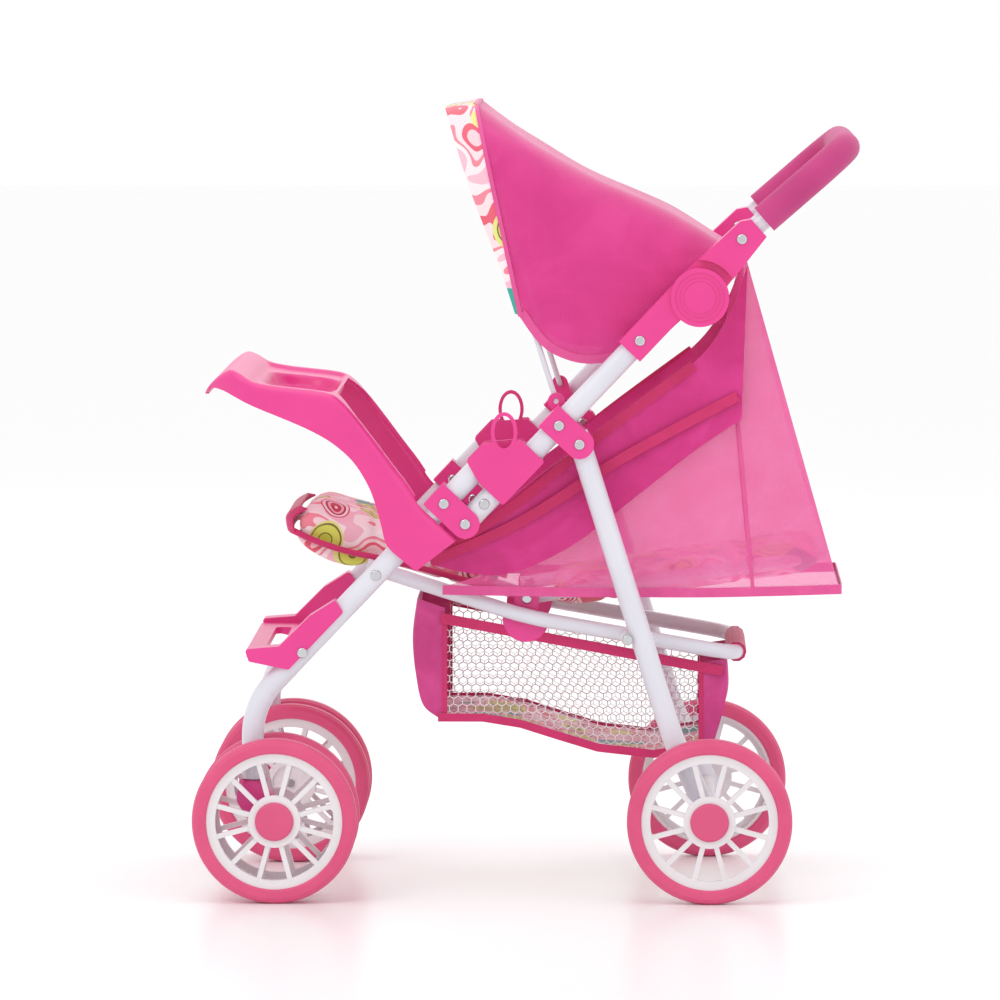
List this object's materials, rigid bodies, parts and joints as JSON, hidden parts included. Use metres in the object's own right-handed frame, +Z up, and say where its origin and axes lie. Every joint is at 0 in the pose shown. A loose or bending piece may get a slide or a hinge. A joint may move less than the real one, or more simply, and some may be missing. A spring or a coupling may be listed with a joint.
{
  "type": "doll stroller",
  "caption": "Folding doll stroller on a painted steel tube frame, with play tray, adjustable push handle, canopy, reclining seat and mesh basket.",
  "frame": {"origin": "on the floor at the middle of the stroller's length and width", "axes": "+Z up, the front of the stroller faces -Y, +X is the doll's left"},
  "size_m": [0.303, 0.4845, 0.5795],
  "materials": {
    "frame_paint": "white gloss powder coat",
    "pink_plastic": "moulded, satin",
    "wheel_plastic": "moulded, off-white",
    "cap_plastic": "moulded raspberry pink",
    "tyre_foam": "raspberry pink soft tyre",
    "grip_foam": "deep raspberry foam",
    "rivet_steel": "plated domed heads",
    "axle_steel": "plated rod",
    "bush_nylon": "nylon",
    "spring_steel": "wire",
    "nylon_cloth": "sheer hot pink nylon",
    "printed_cloth": "pale pink flower print",
    "basket_cloth": "pink nylon with white mesh sides"
  },
  "bodies": {
    "front_frame": {"front_legs": "frame_paint", "swivel_bushes": "bush_nylon", "lower_brackets": "pink_plastic", "tray": "pink_plastic", "footrest": "pink_plastic", "front_frame_rivets": "rivet_steel", "front_frame_pivots": "rivet_steel", "seat_spacers_front": "bush_nylon"},
    "caster_left": {"caster_housing_left": "pink_plastic", "swivel_pin_left": "axle_steel"},
    "front_wheels_left": {"tyre_front_left": "tyre_foam", "rim_front_left": "wheel_plastic", "cap_front_left": "cap_plastic", "front_axle_left": "axle_steel"},
    "caster_right": {"caster_housing_right": "pink_plastic", "swivel_pin_right": "axle_steel"},
    "front_wheels_right": {"tyre_front_right": "tyre_foam", "rim_front_right": "wheel_plastic", "cap_front_right": "cap_plastic", "front_axle_right": "axle_steel"},
    "upper_frame": {"upper_tubes": "frame_paint", "upper_brackets": "pink_plastic", "hub_housing_left": "pink_plastic", "hub_housing_right": "pink_plastic", "upper_frame_rivets": "rivet_steel", "canopy_clips": "pink_plastic", "canopy_cover": "nylon_cloth", "side_wings": "nylon_cloth", "hub_pins": "axle_steel", "button_springs": "spring_steel"},
    "handle": {"handle_tube": "frame_paint", "handle_grip": "grip_foam", "handle_arms": "pink_plastic", "handle_rivets": "rivet_steel"},
    "button_left": {"hub_button_left": "pink_plastic"},
    "lock_left": {"lock_sleeve_left": "pink_plastic"},
    "button_right": {"hub_button_right": "pink_plastic"},
    "lock_right": {"lock_sleeve_right": "pink_plastic"},
    "canopy": {"canopy_bow": "frame_paint", "canopy_band": "printed_cloth"},
    "rear_frame": {"rear_leg_left": "frame_paint", "rear_leg_right": "frame_paint", "rear_axle": "axle_steel", "rear_axle_sleeve": "bush_nylon", "rear_leg_rivets": "rivet_steel", "seat_spacers_rear": "bush_nylon"},
    "rear_wheel_left": {"tyre_rear_left": "tyre_foam", "rim_rear_left": "wheel_plastic", "cap_rear_left": "cap_plastic"},
    "rear_wheel_right": {"tyre_rear_right": "tyre_foam", "rim_rear_right": "wheel_plastic", "cap_rear_right": "cap_plastic"},
    "seat_frame": {"seat_tube": "frame_paint", "seat_pad": "printed_cloth", "basket": "basket_cloth", "recline_brackets": "pink_plastic", "recline_pivots": "rivet_steel"},
    "backrest": {"backrest_tube": "frame_paint", "backrest_pad": "printed_cloth", "back_tent": "nylon_cloth"}
  },
  "joints": [
    {"name": "fold", "type": "hinge", "parent": "front_frame", "child": "upper_frame", "pos_m": [0, -0.0446, 0.2753], "axis": [-1, 0, 0], "range_deg": [0, 112], "deforming": ["side_wings", "back_tent", "basket", "seat_pad"]},
    {"name": "seat_fold", "type": "hinge", "parent": "front_frame", "child": "seat_frame", "pos_m": [0, -0.1095, 0.2379], "axis": [-1, 0, 0], "range_deg": [0, 71.27]},
    {"name": "rear_fold", "type": "hinge", "parent": "upper_frame", "child": "rear_frame", "pos_m": [0, 0.0383, 0.3333], "axis": [1, 0, 0], "range_deg": [0, 68.21]},
    {"name": "handle_angle", "type": "hinge", "parent": "upper_frame", "child": "handle", "pos_m": [0, 0.1253, 0.44], "axis": [1, 0, 0], "range_deg": [-37.5, 0]},
    {"name": "canopy_swing", "type": "hinge", "parent": "upper_frame", "child": "canopy", "pos_m": [0, 0.021, 0.3635], "axis": [1, 0, 0], "range_deg": [-75, 0], "deforming": ["canopy_cover"]},
    {"name": "recline", "type": "hinge", "parent": "seat_frame", "child": "backrest", "pos_m": [0, -0.0008, 0.2164], "axis": [1, 0, 0], "range_deg": [0, 63]},
    {"name": "lock_left_slide", "type": "slide", "parent": "upper_frame", "child": "lock_left", "axis": [0, 0.6884, 0.7254], "range_m": [0, 0.012]},
    {"name": "button_left_push", "type": "slide", "parent": "upper_frame", "child": "button_left", "axis": [-1, 0, 0], "range_m": [0, 0.003], "stiffness_N_per_m": 400, "deforming": ["button_springs"]},
    {"name": "caster_left_swivel", "type": "hinge", "parent": "front_frame", "child": "caster_left", "pos_m": [0.121, -0.1995, 0.08], "axis": [0, 0, 1], "continuous": true},
    {"name": "front_wheels_left_spin", "type": "hinge", "parent": "caster_left", "child": "front_wheels_left", "pos_m": [0.121, -0.1828, 0.06], "axis": [1, 0, 0], "continuous": true},
    {"name": "rear_wheel_left_spin", "type": "hinge", "parent": "rear_frame", "child": "rear_wheel_left", "pos_m": [0.1415, 0.133, 0.06], "axis": [1, 0, 0], "continuous": true},
    {"name": "lock_right_slide", "type": "slide", "parent": "upper_frame", "child": "lock_right", "axis": [0, 0.6884, 0.7254], "range_m": [0, 0.012]},
    {"name": "button_right_push", "type": "slide", "parent": "upper_frame", "child": "button_right", "axis": [1, 0, 0], "range_m": [0, 0.003], "stiffness_N_per_m": 400, "deforming": ["button_springs"]},
    {"name": "caster_right_swivel", "type": "hinge", "parent": "front_frame", "child": "caster_right", "pos_m": [-0.121, -0.1995, 0.08], "axis": [0, 0, 1], "continuous": true},
    {"name": "front_wheels_right_spin", "type": "hinge", "parent": "caster_right", "child": "front_wheels_right", "pos_m": [-0.121, -0.1828, 0.06], "axis": [1, 0, 0], "continuous": true},
    {"name": "rear_wheel_right_spin", "type": "hinge", "parent": "rear_frame", "child": "rear_wheel_right", "pos_m": [-0.1415, 0.133, 0.06], "axis": [1, 0, 0], "continuous": true}
  ],
  "couplings": [
    {"joint": "seat_fold", "follows": "fold", "ratio": 0.63624},
    {"joint": "rear_fold", "follows": "fold", "ratio": 0.60895}
  ]
}
